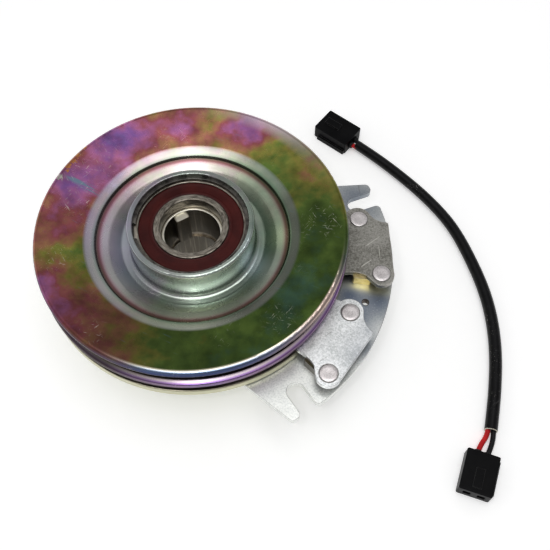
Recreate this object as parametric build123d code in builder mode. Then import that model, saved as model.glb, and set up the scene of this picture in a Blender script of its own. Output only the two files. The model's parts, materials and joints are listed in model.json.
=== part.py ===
"""Electromagnetic power-take-off clutch with a magnet-held brake, and its two-way adaptor lead.

Frame: millimetres, +Z up along the shaft, origin on the shaft axis at the face the clutch
stands on.  +X points to the middle of the brake lobe.  Everything is at rest: coil off, and
the armature held up against the brake plates.
"""
from build123d import *
import os
from math import atan2, cos, degrees, hypot, pi, radians, sin, tan

os.makedirs("parts", exist_ok=True)

# ---- driving dimensions -------------------------------------------------------------------
SHAFT_R = 12.7              # one-inch crankshaft
PULLEY_R = 71.0
RIM_TOP = 55.0
HUB_LIP = 60.0
RIM_HEIGHT = 15.7           # outside of one flange to outside of the other
FLANGE = 2.8                # flange thickness at the rim

BEARING_BORE_R = 14.0       # pulley bearing, 28 x 52 x 12
BEARING_R = 26.0
BEARING_TOP = 56.6
BEARING_BOTTOM = 44.6
BEARING_SHOULDERS = (17.0, 23.6)

FIELD_BEARING_BORE_R = 17.5  # field bearing, 35 x 55 x 10
FIELD_BEARING_R = 27.5
FIELD_BEARING_TOP = 14.0
FIELD_BEARING_BOTTOM = 4.0
FIELD_SHOULDERS = (20.6, 24.4)

SHELL_R = 65.0
SHELL_BORE_R = 61.5
SHELL_FLOOR = 12.0          # underside of the wide part, above the bearing boss
BOSS_R = 34.0
POLE_TUBE_R = 32.0
PLATE_TOP = 30.0
PLATE_THICK = 3.5
PLATE_BOTTOM = PLATE_TOP - PLATE_THICK
LOBE_R = 93.5

ROTOR_R = 61.0
ROTOR_FACE = 30.05
ROTOR_THICK = 5.0
ARMATURE_R = 70.5
ARMATURE_BORE_R = 30.0
ARMATURE_TOP = 35.15
ARMATURE_THICK = 4.4
ARMATURE_BOTTOM = ARMATURE_TOP - ARMATURE_THICK

BRAKE_TOP = 38.0
BRAKE_THICK = 2.5
BRAKE_BOTTOM = BRAKE_TOP - BRAKE_THICK
BRAKE_PITCH = 36.8          # turn from one brake plate to the other, in degrees
INNER_RIVET = (79.0, -8.1)  # radius and angle of the second plate's rivets
OUTER_RIVET = (87.6, -28.7)
BRAKE_RIVET_R = 2.2

SLOT_ANGLE = 38.2
SLOT_WIDTH = 8.2
SLOT_END_R = 82.8           # centre of the round inner end

WEB_TOP = 39.6              # spring web of the lower pulley pressing
WEB_BOTTOM = 37.2
SPRING_R = 40.0
SPRING_THICK = 0.6
SPRING_REACH = 14.0         # from a spring's middle to each of its rivets
SPRING_RIVET_R = hypot(SPRING_R, SPRING_REACH)
SPRING_RIVET_ANGLE = degrees(atan2(SPRING_REACH, SPRING_R))

SLEEVE_R = 3.05
SLEEVE_WALL = 0.45
WIRE_R = 1.2
WIRE_OFFSET = 1.25
LEAD_Z = 3.1                # height of the lead's centre line
CONNECTOR = (15.0, 8.0)      # width and height of both connectors
CONNECTOR_HOLE = 2.2        # from the middle of a connector to each wire

# plan route of the sleeve's centre line, from connector A to connector B
LEAD_ROUTE = [
    (53.0, 108.4),
    (64.5, 103.6),
    (84.5, 93.2),
    (101.5, 82.4),
    (115.4, 70.6),
    (127.6, 54.4),
    (138.0, 37.8),
    (144.9, 21.4),
    (149.3, 4.9),
    (151.7, -11.4),
    (152.8, -22.5),
    (153.5, -32.7),
]
RED_TAIL = [(151.9, -36.6), (150.0, -41.4)]
BLACK_TAIL = [(155.2, -36.6), (154.8, -41.4)]
# middle in plan, the direction its wires leave in, and its length
CONNECTOR_A = (40.3, 113.4, -20.8, 21.2)
CONNECTOR_B = (151.6, -54.7, 88.5, 19.2)


# ---- helpers ------------------------------------------------------------------------------
def polar(radius, angle):
    """A plan point from a radius and an angle in degrees."""
    return (radius * cos(radians(angle)), radius * sin(radians(angle)))


def turned(*corners):
    """Revolve a closed section about Z.  Each corner is (radius, height[, fillet])."""
    points = [(corner[0], corner[1]) for corner in corners]
    fillets = [corner[2] if len(corner) == 3 else 0 for corner in corners]
    with BuildSketch(Plane.XZ) as section:
        with BuildLine():
            FilletPolyline(points, radius=fillets, close=True)
        make_face()
    revolve(section.sketch, axis=Axis.Z)


def ring(inner, outer, bottom, top, edge=0.0):
    """A plain turned ring with its edges broken by a small radius."""
    turned((inner, bottom, edge), (outer, bottom, edge), (outer, top, edge), (inner, top, edge))


def race_groove(track_r, height, ball_r):
    """Cut a ball groove of a bearing ring."""
    with BuildSketch(Plane.XZ) as groove:
        with Locations((track_r, height)):
            Circle(ball_r + 0.05)
    revolve(groove.sketch, axis=Axis.Z, mode=Mode.SUBTRACT)


def crown_cage(track_r, middle, ball_r, count, wall):
    """A snap-in ball cage: a floor ring under the balls, and a finger between each two."""
    floor = middle - ball_r - 0.1
    ring(track_r - wall / 2, track_r + wall / 2, floor - 0.8, middle + ball_r / 2)
    with BuildSketch(Plane.XY.offset(floor)) as pockets:
        with PolarLocations(track_r, count):
            Circle(ball_r + 0.15)
    extrude(pockets.sketch, amount=2 * ball_r, mode=Mode.SUBTRACT)


def arc_slots(radius, width, start, sweep, count, bottom, height):
    """Cut curved through-slots, evenly spaced on a circle."""
    for index in range(count):
        with BuildLine() as centre_line:
            CenterArc((0, 0), radius, start + index * 360 / count, sweep)
        with BuildSketch(Plane.XY.offset(bottom)) as slot:
            SlotArc(centre_line.edge(), width)
        extrude(slot.sketch, amount=height, mode=Mode.SUBTRACT)


def finish(piece, label):
    """Name a finished sub-part and write its file."""
    piece.part.label = label
    export_step(piece.part, "parts/" + label + ".step")


# ---- pulley: two pressings round a ball bearing ---------------------------------------------
with BuildPart() as pulley_upper:
    turned(
        (PULLEY_R, RIM_TOP, 1.9),
        (49.2, 50.9, 3.0),
        (44.6, 49.3, 0.5),
        (43.9, 48.0, 0.4),
        (38.5, 46.5, 4.0),
        (33.2, 43.5, 2.6),
        (28.6, 43.2, 2.0),
        (28.6, HUB_LIP, 1.1),
        (BEARING_R, HUB_LIP, 0.5),
        (BEARING_R, BEARING_TOP + 1.55),
        (26.95, BEARING_TOP + 1.55),
        (26.95, BEARING_TOP),
        (BEARING_R, BEARING_TOP),
        (BEARING_R, 40.5, 3.6),
        (32.6, 40.8, 3.0),
        (38.9, 43.9, 4.0),
        (44.0, 45.3, 0.8),
        (45.3, 46.7, 1.5),
        (49.4, 48.1, 3.0),
        (PULLEY_R, RIM_TOP - FLANGE, 0.6),
    )
finish(pulley_upper, "pulley_upper")

LOWER_FLANGE_TOP = RIM_TOP - RIM_HEIGHT + FLANGE
with BuildPart() as pulley_lower:
    turned(
        (PULLEY_R, LOWER_FLANGE_TOP, 1.2),
        (54.8, 49.11, 1.5),
        (50.4, 48.275, 1.5),
        (48.2, WEB_TOP, 1.5),
        (25.7, WEB_TOP, 1.0),
        (25.7, BEARING_BOTTOM),
        (23.4, BEARING_BOTTOM),
        (23.4, WEB_BOTTOM, 1.5),
        (50.2, WEB_BOTTOM, 3.5),
        (52.4, 45.7, 2.0),
        (54.6, 46.2, 2.0),
        (PULLEY_R, LOWER_FLANGE_TOP - FLANGE, 1.2),
    )
    with BuildSketch(Plane.XY.offset(WEB_BOTTOM)):
        for index in range(3):
            with Locations(polar(SPRING_RIVET_R, index * 120 - SPRING_RIVET_ANGLE)):
                Circle(2.0)
    extrude(amount=WEB_TOP - WEB_BOTTOM, mode=Mode.SUBTRACT)
finish(pulley_lower, "pulley_lower")

BALL_TRACK_R = sum(BEARING_SHOULDERS) / 2
BALL_R = 3.5
BALL_COUNT = 10
BEARING_MIDDLE = (BEARING_TOP + BEARING_BOTTOM) / 2
with BuildPart() as pulley_bearing_outer:
    ring(BEARING_SHOULDERS[1], BEARING_R, BEARING_BOTTOM, BEARING_TOP, 0.5)
    race_groove(BALL_TRACK_R, BEARING_MIDDLE, BALL_R)
finish(pulley_bearing_outer, "pulley_bearing_outer")

with BuildPart() as pulley_bearing_inner:
    ring(BEARING_BORE_R, BEARING_SHOULDERS[0], BEARING_BOTTOM, BEARING_TOP, 0.5)
    race_groove(BALL_TRACK_R, BEARING_MIDDLE, BALL_R)
finish(pulley_bearing_inner, "pulley_bearing_inner")

with BuildPart() as pulley_bearing_balls:
    with Locations((0, 0, BEARING_MIDDLE)):
        with PolarLocations(BALL_TRACK_R, BALL_COUNT):
            Sphere(BALL_R)
finish(pulley_bearing_balls, "pulley_bearing_balls")

with BuildPart() as pulley_bearing_cage:
    crown_cage(BALL_TRACK_R, BEARING_MIDDLE, BALL_R, BALL_COUNT, 2.0)
finish(pulley_bearing_cage, "pulley_bearing_cage")

SEAL_THICK = 1.0
SEAL_RECESS = 0.35
with BuildPart() as bearing_seal_top:
    ring(
        BEARING_SHOULDERS[0] + 0.08, BEARING_SHOULDERS[1],
        BEARING_TOP - SEAL_RECESS - SEAL_THICK, BEARING_TOP - SEAL_RECESS, 0.3)
finish(bearing_seal_top, "bearing_seal_top")

with BuildPart() as bearing_seal_bottom:
    ring(
        BEARING_SHOULDERS[0] + 0.08, BEARING_SHOULDERS[1],
        BEARING_BOTTOM + SEAL_RECESS, BEARING_BOTTOM + SEAL_RECESS + SEAL_THICK, 0.3)
finish(bearing_seal_bottom, "bearing_seal_bottom")

with BuildPart() as bearing_retaining_ring:
    ring(24.5, 26.9, BEARING_TOP, BEARING_TOP + 1.5, 0.2)
    with Locations(polar(25.7, 205) + (BEARING_TOP + 0.75,)):
        Box(7.0, 7.0, 4.0, mode=Mode.SUBTRACT)
finish(bearing_retaining_ring, "bearing_retaining_ring")


# ---- armature and the leaf springs that carry it --------------------------------------------
SPRING_LEVELS = (WEB_BOTTOM - SPRING_THICK, ARMATURE_TOP)
with BuildPart() as leaf_springs:
    for index in range(3):
        across = Plane.XZ.rotated((0, 0, 90 + index * 120)).offset(-SPRING_R - 5.5)
        with BuildSketch(across):
            with BuildLine():
                Polyline(
                    (-20.0, SPRING_LEVELS[0]), (-8.0, SPRING_LEVELS[0]),
                    (7.0, SPRING_LEVELS[1]), (20.0, SPRING_LEVELS[1]),
                    (20.0, SPRING_LEVELS[1] + SPRING_THICK), (7.2, SPRING_LEVELS[1] + SPRING_THICK),
                    (-7.8, WEB_BOTTOM), (-20.0, WEB_BOTTOM), close=True)
            make_face()
        extrude(amount=11.0)
    with BuildSketch(Plane.XY.offset(ARMATURE_TOP - 1)):
        for index in range(3):
            with Locations(polar(SPRING_RIVET_R, index * 120 - SPRING_RIVET_ANGLE)):
                Circle(2.0)
            with Locations(polar(SPRING_RIVET_R, index * 120 + SPRING_RIVET_ANGLE)):
                Circle(2.3)
    extrude(amount=5.0, mode=Mode.SUBTRACT)
finish(leaf_springs, "leaf_springs")

with BuildPart() as spring_rivets:
    for index in range(3):
        centre = polar(SPRING_RIVET_R, index * 120 - SPRING_RIVET_ANGLE)
        for radius, low, high in (
                (3.6, SPRING_LEVELS[0] - 0.7, SPRING_LEVELS[0]),
                (2.0, SPRING_LEVELS[0] - 0.7, WEB_TOP + 0.8),
                (3.6, WEB_TOP, WEB_TOP + 0.8)):
            with BuildSketch(Plane.XY.offset(low)):
                with Locations(centre):
                    Circle(radius)
            extrude(amount=high - low)
finish(spring_rivets, "spring_rivets")

with BuildPart() as armature_ring:
    ring(ARMATURE_BORE_R, ARMATURE_R, ARMATURE_BOTTOM, ARMATURE_TOP, 0.4)
    arc_slots(50.5, 3.2, 35, 88, 3, ARMATURE_BOTTOM, ARMATURE_THICK)
    with BuildSketch(Plane.XY.offset(ARMATURE_BOTTOM)):
        for index in range(3):
            with Locations(polar(SPRING_RIVET_R, index * 120 + SPRING_RIVET_ANGLE)):
                Circle(2.0)
    extrude(amount=ARMATURE_THICK, mode=Mode.SUBTRACT)
finish(armature_ring, "armature_ring")

with BuildPart() as armature_rivets:
    for index in range(3):
        centre = polar(SPRING_RIVET_R, index * 120 + SPRING_RIVET_ANGLE)
        for radius, low, high in (
                (2.0, ARMATURE_BOTTOM + 0.2, ARMATURE_TOP + SPRING_THICK + 0.7),
                (3.6, ARMATURE_TOP + SPRING_THICK, ARMATURE_TOP + SPRING_THICK + 0.7)):
            with BuildSketch(Plane.XY.offset(low)):
                with Locations(centre):
                    Circle(radius)
            extrude(amount=high - low)
finish(armature_rivets, "armature_rivets")


# ---- rotor: keyed hub and slotted pole disc ---------------------------------------------------
ROTOR_BACK = ROTOR_FACE - ROTOR_THICK
SLEEVE_TOP = 50.1
KEY_BOTTOM = 31.0
with BuildPart() as rotor_hub:
    turned(
        (SHAFT_R, 0.0), (FIELD_BEARING_BORE_R, 0.0, 0.6),
        (FIELD_BEARING_BORE_R, 2.3), (16.6, 2.3), (16.6, 3.95), (FIELD_BEARING_BORE_R, 3.95),
        (FIELD_BEARING_BORE_R, FIELD_BEARING_TOP), (20.2, FIELD_BEARING_TOP),
        (20.2, ROTOR_FACE), (16.6, ROTOR_FACE, 0.8),
        (16.6, BEARING_BOTTOM), (BEARING_BORE_R, BEARING_BOTTOM),
        (BEARING_BORE_R, SLEEVE_TOP, 0.4), (SHAFT_R, SLEEVE_TOP, 0.4),
        (SHAFT_R, KEY_BOTTOM), (13.4, KEY_BOTTOM), (13.4, 27.0), (SHAFT_R, 27.0))
    with BuildSketch(Plane.XY.offset(KEY_BOTTOM)) as key_section:
        with Locations(Location((0, 0, 0), (0, 0, 138))):
            with Locations((11.4, 0)):
                Rectangle(3.8, 6.35)
    extrude(amount=SLEEVE_TOP - 1.2 - KEY_BOTTOM)
finish(rotor_hub, "rotor_hub")

with BuildPart() as rotor_disc:
    turned(
        (20.2, ROTOR_BACK), (30.0, ROTOR_BACK), (ROTOR_R, ROTOR_BACK, 1.0),
        (ROTOR_R, ROTOR_FACE, 0.4), (20.2, ROTOR_FACE))
    arc_slots(38.0, 3.2, 8, 74, 4, ROTOR_BACK, ROTOR_THICK)
    arc_slots(56.5, 3.2, 6, 48, 6, ROTOR_BACK, ROTOR_THICK)
finish(rotor_disc, "rotor_disc")

with BuildPart() as hub_snap_ring:
    ring(16.6, 20.2, 2.4, 3.85, 0.2)
    with Locations((-18.5, 0, 3.1)):
        Box(6.0, 6.0, 4.0, mode=Mode.SUBTRACT)
finish(hub_snap_ring, "hub_snap_ring")


# ---- field: steel shell with its bearing housing, coil and bearing ------------------------------
SOCKET_Z = 19.2
COIL_FLOOR = SHELL_FLOOR + 3.5
POLE_TUBE_TOP = ROTOR_BACK - 0.4
with BuildPart() as field_shell:
    turned(
        (POLE_TUBE_R, SHELL_FLOOR), (SHELL_R, SHELL_FLOOR, 6.0), (SHELL_R, PLATE_BOTTOM),
        (SHELL_BORE_R, PLATE_BOTTOM), (SHELL_BORE_R, COIL_FLOOR, 2.5), (POLE_TUBE_R, COIL_FLOOR))
    with BuildSketch(Plane.XZ.offset(-50)):
        with Locations((0, SOCKET_Z)):
            Circle(3.4)
    extrude(amount=-25, mode=Mode.SUBTRACT)
finish(field_shell, "field_shell")

with BuildPart() as bearing_housing:
    turned(
        (24.0, 0.0, 0.8), (BOSS_R, 0.0, 2.5), (BOSS_R, SHELL_FLOOR), (POLE_TUBE_R, SHELL_FLOOR),
        (POLE_TUBE_R, POLE_TUBE_TOP, 0.5), (FIELD_BEARING_R, POLE_TUBE_TOP, 0.5),
        (FIELD_BEARING_R, 15.4), (28.4, 15.4), (28.4, FIELD_BEARING_TOP),
        (FIELD_BEARING_R, FIELD_BEARING_TOP), (FIELD_BEARING_R, FIELD_BEARING_BOTTOM),
        (24.0, FIELD_BEARING_BOTTOM, 0.4))
finish(bearing_housing, "bearing_housing")

WELD_LEG = 1.2
with BuildPart() as shell_weld:
    turned((SHELL_R, PLATE_BOTTOM), (SHELL_R + WELD_LEG, PLATE_BOTTOM), (SHELL_R, PLATE_BOTTOM - WELD_LEG))
finish(shell_weld, "shell_weld")

BOBBIN_FLOOR = COIL_FLOOR + 0.2
BOBBIN_TOP = 23.6
BOBBIN_RADII = (32.6, 58.8)
with BuildPart() as coil_bobbin:
    turned(
        (BOBBIN_RADII[0], BOBBIN_FLOOR), (BOBBIN_RADII[1], BOBBIN_FLOOR),
        (BOBBIN_RADII[1], BOBBIN_FLOOR + 1.2), (BOBBIN_RADII[0] + 1.2, BOBBIN_FLOOR + 1.2),
        (BOBBIN_RADII[0] + 1.2, BOBBIN_TOP - 1.2), (BOBBIN_RADII[1], BOBBIN_TOP - 1.2),
        (BOBBIN_RADII[1], BOBBIN_TOP), (BOBBIN_RADII[0], BOBBIN_TOP))
finish(coil_bobbin, "coil_bobbin")

with BuildPart() as coil_winding:
    ring(BOBBIN_RADII[0] + 1.2, 58.0, BOBBIN_FLOOR + 1.2, BOBBIN_TOP - 1.2, 0.6)
finish(coil_winding, "coil_winding")

with BuildPart() as coil_potting:
    ring(POLE_TUBE_R, SHELL_BORE_R, BOBBIN_TOP, BOBBIN_TOP + 1.0)
finish(coil_potting, "coil_potting")

FIELD_TRACK_R = sum(FIELD_SHOULDERS) / 2
FIELD_BALL_R = 2.7
FIELD_BALL_COUNT = 14
FIELD_MIDDLE = (FIELD_BEARING_TOP + FIELD_BEARING_BOTTOM) / 2
with BuildPart() as field_bearing_outer:
    ring(FIELD_SHOULDERS[1], FIELD_BEARING_R, FIELD_BEARING_BOTTOM, FIELD_BEARING_TOP, 0.4)
    race_groove(FIELD_TRACK_R, FIELD_MIDDLE, FIELD_BALL_R)
finish(field_bearing_outer, "field_bearing_outer")

with BuildPart() as field_bearing_inner:
    ring(FIELD_BEARING_BORE_R, FIELD_SHOULDERS[0], FIELD_BEARING_BOTTOM, FIELD_BEARING_TOP, 0.4)
    race_groove(FIELD_TRACK_R, FIELD_MIDDLE, FIELD_BALL_R)
finish(field_bearing_inner, "field_bearing_inner")

with BuildPart() as field_bearing_balls:
    with Locations((0, 0, FIELD_MIDDLE)):
        with PolarLocations(FIELD_TRACK_R, FIELD_BALL_COUNT):
            Sphere(FIELD_BALL_R)
finish(field_bearing_balls, "field_bearing_balls")

with BuildPart() as field_bearing_cage:
    crown_cage(FIELD_TRACK_R, FIELD_MIDDLE, FIELD_BALL_R, FIELD_BALL_COUNT, 1.6)
finish(field_bearing_cage, "field_bearing_cage")

with BuildPart() as field_bearing_seals:
    for low in (FIELD_BEARING_BOTTOM + 0.3, FIELD_BEARING_TOP - 1.1):
        ring(FIELD_SHOULDERS[0] + 0.08, FIELD_SHOULDERS[1], low, low + 0.8, 0.2)
finish(field_bearing_seals, "field_bearing_seals")

with BuildPart() as field_retaining_ring:
    ring(25.6, 28.35, FIELD_BEARING_TOP, FIELD_BEARING_TOP + 1.35, 0.2)
    with Locations((0, -27, FIELD_BEARING_TOP + 0.7)):
        Box(7.0, 7.0, 4.0, mode=Mode.SUBTRACT)
finish(field_retaining_ring, "field_retaining_ring")

with BuildPart() as terminal_socket:
    with BuildSketch(Plane.XZ.offset(-63)) as socket_outline:
        with Locations((0, SOCKET_Z)):
            RectangleRounded(18.0, 12.0, 1.5)
    extrude(amount=-19)
    Cylinder(SHELL_R, 60, mode=Mode.SUBTRACT)
    with BuildSketch(Plane.XZ.offset(-61.0)) as socket_neck:
        with Locations((0, SOCKET_Z)):
            Circle(3.4)
    extrude(amount=-8)
    with BuildSketch(Plane.XZ.offset(-72)) as socket_cavity:
        with Locations((0, SOCKET_Z)):
            RectangleRounded(14.0, 8.4, 0.8)
    extrude(amount=-12, mode=Mode.SUBTRACT)
finish(terminal_socket, "terminal_socket")

with BuildPart() as terminal_pins:
    for side in (-1, 1):
        with Locations((side * 4.6, 74.0, SOCKET_Z)):
            Box(0.8, 12.0, 2.8)
finish(terminal_pins, "terminal_pins")


# ---- torque plate -----------------------------------------------------------------------------
PRONG_SLOPE = 21.3
PRONG_CORNER = (67.56, 64.64)
PRONG_ROOT_X = 40.3
PRONG_ROOT = (PRONG_ROOT_X, PRONG_CORNER[1] - (PRONG_CORNER[0] - PRONG_ROOT_X) * tan(radians(PRONG_SLOPE)))
with BuildPart() as base_plate:
    with BuildSketch(Plane.XY.offset(PLATE_BOTTOM)) as plate_outline:
        Circle(SHELL_R + 2.1)
        with BuildLine():
            Line(PRONG_ROOT, PRONG_CORNER)
            ThreePointArc(PRONG_CORNER, (LOBE_R, 0), (PRONG_CORNER[0], -PRONG_CORNER[1]))
            Line((PRONG_CORNER[0], -PRONG_CORNER[1]), (PRONG_ROOT[0], -PRONG_ROOT[1]))
            Line((PRONG_ROOT[0], -PRONG_ROOT[1]), PRONG_ROOT)
        make_face()
        for side in (-1, 1):
            with Locations(Location((0, 0, 0), (0, 0, side * SLOT_ANGLE))):
                with Locations((SLOT_END_R, 0)):
                    Circle(SLOT_WIDTH / 2, mode=Mode.SUBTRACT)
                with Locations((SLOT_END_R + 10, 0)):
                    Rectangle(20, SLOT_WIDTH, mode=Mode.SUBTRACT)
        rim_corners = plate_outline.vertices().filter_by(lambda v: hypot(v.X, v.Y) > LOBE_R - 1.0)
        fillet(rim_corners, 2.2)
        Circle(SHELL_BORE_R, mode=Mode.SUBTRACT)
        with Locations((83.1, 0)):
            Circle(1.5, mode=Mode.SUBTRACT)
        for turn in (0, BRAKE_PITCH):
            for radius, angle in (INNER_RIVET, OUTER_RIVET):
                with Locations(polar(radius, angle + turn)):
                    Circle(BRAKE_RIVET_R, mode=Mode.SUBTRACT)
    extrude(amount=PLATE_THICK)
finish(base_plate, "base_plate")


# ---- brake: two pole plates on magnets and spacers --------------------------------------------
def brake_outline(turn):
    """Plan outline of a brake plate, turned about the shaft axis."""
    inner_rivet = polar(INNER_RIVET[0], INNER_RIVET[1] + turn)
    outer_rivet = polar(OUTER_RIVET[0], OUTER_RIVET[1] + turn)
    with BuildLine() as outline:
        ThreePointArc(polar(64.5, -30.0 + turn), polar(64.5, -18.0 + turn), polar(64.5, -5.9 + turn))
        Line(polar(64.5, -5.9 + turn), polar(73.2, -5.3 + turn))
        ThreePointArc(polar(73.2, -5.3 + turn), polar(79.2, -3.3 + turn), polar(84.6, -6.6 + turn))
        ThreePointArc(polar(84.6, -6.6 + turn), polar(87.6, -9.6 + turn), polar(92.4, -10.8 + turn))
        Line(polar(92.4, -10.8 + turn), polar(93.2, -27.5 + turn))
        ThreePointArc(polar(93.2, -27.5 + turn), polar(91.4, -31.8 + turn), polar(86.3, -32.6 + turn))
        ThreePointArc(polar(86.3, -32.6 + turn), polar(82.9, -31.2 + turn), polar(80.6, -30.0 + turn))
        ThreePointArc(polar(80.6, -30.0 + turn), polar(76.0, -29.6 + turn), polar(71.0, -30.4 + turn))
        Line(polar(71.0, -30.4 + turn), polar(64.5, -30.0 + turn))
    make_face(outline.line)
    for centre in (inner_rivet, outer_rivet):
        with Locations(centre):
            Circle(BRAKE_RIVET_R, mode=Mode.SUBTRACT)


for number, turn in ((1, BRAKE_PITCH), (2, 0.0)):
    with BuildPart() as brake_plate:
        with BuildSketch(Plane.XY.offset(BRAKE_BOTTOM)) as brake_section:
            brake_outline(turn)
            corner = polar(92.4, -10.8 + turn)
            sharp = brake_section.vertices().sort_by_distance(corner + (BRAKE_BOTTOM,))[0]
            fillet(sharp, 1.2)
        extrude(amount=BRAKE_THICK)
    finish(brake_plate, "brake_plate_" + str(number))

with BuildPart() as brake_spacers:
    for turn in (0.0, BRAKE_PITCH):
        for (radius, angle), reach, width, middle in (
                (INNER_RIVET, 10.0, 7.6, 79.0), (OUTER_RIVET, 9.0, 5.2, 79.4)):
            with BuildSketch(Plane.XY.offset(PLATE_TOP)):
                with Locations(Location((0, 0, 0), (0, 0, angle + turn))):
                    with Locations((middle, 0)):
                        RectangleRounded(reach, width, 1.2)
                    with Locations((radius, 0)):
                        Circle(BRAKE_RIVET_R, mode=Mode.SUBTRACT)
            extrude(amount=BRAKE_BOTTOM - PLATE_TOP)
finish(brake_spacers, "brake_spacers")

with BuildPart() as brake_magnets:
    for turn in (0.0, BRAKE_PITCH):
        for angle in (-15.2, -21.3):
            with BuildSketch(Plane.XY.offset(PLATE_TOP)):
                with Locations(Location((0, 0, 0), (0, 0, angle + turn))):
                    with Locations((80.5, 0)):
                        RectangleRounded(13.0, 7.6, 0.6)
            extrude(amount=BRAKE_BOTTOM - PLATE_TOP)
finish(brake_magnets, "brake_magnets")

with BuildPart() as brake_rivets:
    for turn in (0.0, BRAKE_PITCH):
        for radius, angle in (INNER_RIVET, OUTER_RIVET):
            centre = polar(radius, angle + turn)
            with Locations(centre + (PLATE_BOTTOM - 0.6,)):
                Cylinder(3.6, 1.2)
            with Locations(centre + ((PLATE_BOTTOM + BRAKE_TOP) / 2,)):
                Cylinder(BRAKE_RIVET_R, BRAKE_TOP - PLATE_BOTTOM)
            with Locations(centre + (BRAKE_TOP + 0.25,)):
                Cylinder(4.4, 0.5)
    head_rims = brake_rivets.edges().filter_by(GeomType.CIRCLE).group_by(Axis.Z)[-1]
    fillet(head_rims, 0.3)
finish(brake_rivets, "brake_rivets")


# ---- adaptor lead -----------------------------------------------------------------------------
def bend_radii(points):
    """Largest arc for each inner point: 0.45 of the shorter run over tan(half the turn)."""
    radii = []
    for before, here, after in zip(points, points[1:], points[2:]):
        run_in = Vector(here) - Vector(before)
        run_out = Vector(after) - Vector(here)
        half_turn = radians(run_in.get_angle(run_out)) / 2
        radii.append(0.45 * min(run_in.length, run_out.length) / tan(half_turn))
    return radii


def beside(points, offset):
    """The route moved sideways; a positive offset is to the left of its direction."""
    moved = []
    for index, (x, y) in enumerate(points):
        x0, y0 = points[max(index - 1, 0)]
        x1, y1 = points[min(index + 1, len(points) - 1)]
        length = hypot(x1 - x0, y1 - y0)
        moved.append((x - offset * (y1 - y0) / length, y + offset * (x1 - x0) / length))
    return moved


def tube(plan_points, outer, inner, label):
    """Sweep a round section along a route and print how its volume compares."""
    points = [(x, y, LEAD_Z) for x, y in plan_points]
    radii = bend_radii(points)
    with BuildPart() as piece:
        with BuildLine() as path:
            FilletPolyline(points, radius=radii)
        route = path.wires()[0]
        with BuildSketch(Plane(origin=route @ 0, z_dir=route % 0)):
            Circle(outer)
            if inner > 0:
                Circle(inner, mode=Mode.SUBTRACT)
        sweep(path=route)
    section = pi * (outer ** 2 - inner ** 2)
    ratio = piece.part.volume / (section * route.length)
    print(label, "length %.1f" % route.length, "volume ratio %.4f" % ratio)
    print("  radii", [round(radius, 1) for radius in radii])
    finish(piece, label)


def connector_hole(connector, side):
    """Plan point where a wire enters a connector's rear face."""
    x, y, angle, length = connector
    out = polar(length / 2, angle)
    across = polar(side * CONNECTOR_HOLE, angle + 90)
    return (x + out[0] + across[0], y + out[1] + across[1])


tube(LEAD_ROUTE, SLEEVE_R, SLEEVE_R - SLEEVE_WALL, "harness_sleeve")
tube(
    [connector_hole(CONNECTOR_A, -1)] + beside(LEAD_ROUTE, -WIRE_OFFSET) + RED_TAIL
    + [connector_hole(CONNECTOR_B, 1)], WIRE_R, 0, "wire_red")
tube(
    [connector_hole(CONNECTOR_A, 1)] + beside(LEAD_ROUTE, WIRE_OFFSET) + BLACK_TAIL
    + [connector_hole(CONNECTOR_B, -1)], WIRE_R, 0, "wire_black")

CAVITY = (12.9, 3.6, 3.4)
for name, (x, y, angle, length) in (("connector_a", CONNECTOR_A), ("connector_b", CONNECTOR_B)):
    width, height = CONNECTOR
    with BuildPart(Plane(origin=(x, y, 0), x_dir=polar(1, angle) + (0,), z_dir=(0, 0, 1))) as connector:
        with Locations((0, 0, height / 2)):
            Box(length, width, height)
        fillet(connector.edges().filter_by(Axis.Z), 0.8)
        top_rim = connector.faces().sort_by(Axis.Z)[-1].edges()
        fillet(top_rim, 0.5)
        with Locations((1.2, -width / 2 - 0.5, 1.3)):
            Box(length - 3.4, 1.4, 2.6)
        with Locations((-3.0, 0, height + 0.4)):
            Box(9.0, 4.0, 1.2)
        for side in (-1, 1):
            with Locations((-length / 2 + CAVITY[0] / 2, side * 3.2, height / 2)):
                Box(*CAVITY, mode=Mode.SUBTRACT)
    finish(connector, name)

with BuildPart() as connector_terminals:
    for x, y, angle, length in (CONNECTOR_A, CONNECTOR_B):
        for side in (-1, 1):
            along = polar(-length / 2 + 7.4, angle)
            across = polar(side * 3.2, angle + 90)
            centre = (x + along[0] + across[0], y + along[1] + across[1], CONNECTOR[1] / 2)
            with Locations(Location(centre, (0, 0, angle))):
                Box(11.0, 2.6, 2.0)
finish(connector_terminals, "connector_terminals")
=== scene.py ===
import json
import math

import bmesh
import bpy
from mathutils import Matrix, Vector, noise


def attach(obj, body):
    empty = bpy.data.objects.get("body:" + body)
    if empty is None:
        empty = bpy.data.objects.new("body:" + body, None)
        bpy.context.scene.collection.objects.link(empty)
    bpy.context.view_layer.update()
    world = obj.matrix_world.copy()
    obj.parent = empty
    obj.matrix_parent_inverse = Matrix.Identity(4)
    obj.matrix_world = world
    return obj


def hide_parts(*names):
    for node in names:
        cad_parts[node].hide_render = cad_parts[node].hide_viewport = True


# Looks of an electromagnetic clutch and its adaptor lead, in the CAD frame: +Z up along the shaft,
# +X to the middle of the brake lobe.  Blender works in metres; MM turns a size in mm into metres.

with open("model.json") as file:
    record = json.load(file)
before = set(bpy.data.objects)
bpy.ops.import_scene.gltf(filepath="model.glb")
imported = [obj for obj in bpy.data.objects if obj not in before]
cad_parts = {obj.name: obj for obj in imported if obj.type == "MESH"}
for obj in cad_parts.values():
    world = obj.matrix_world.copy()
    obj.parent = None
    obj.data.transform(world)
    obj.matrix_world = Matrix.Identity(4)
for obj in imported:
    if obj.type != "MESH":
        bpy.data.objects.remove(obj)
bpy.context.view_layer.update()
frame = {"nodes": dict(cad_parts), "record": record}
MM = 0.001
RIM_TOP = 55 * MM           # height of the pulley's rim, where the camera's axis is centred


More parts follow.
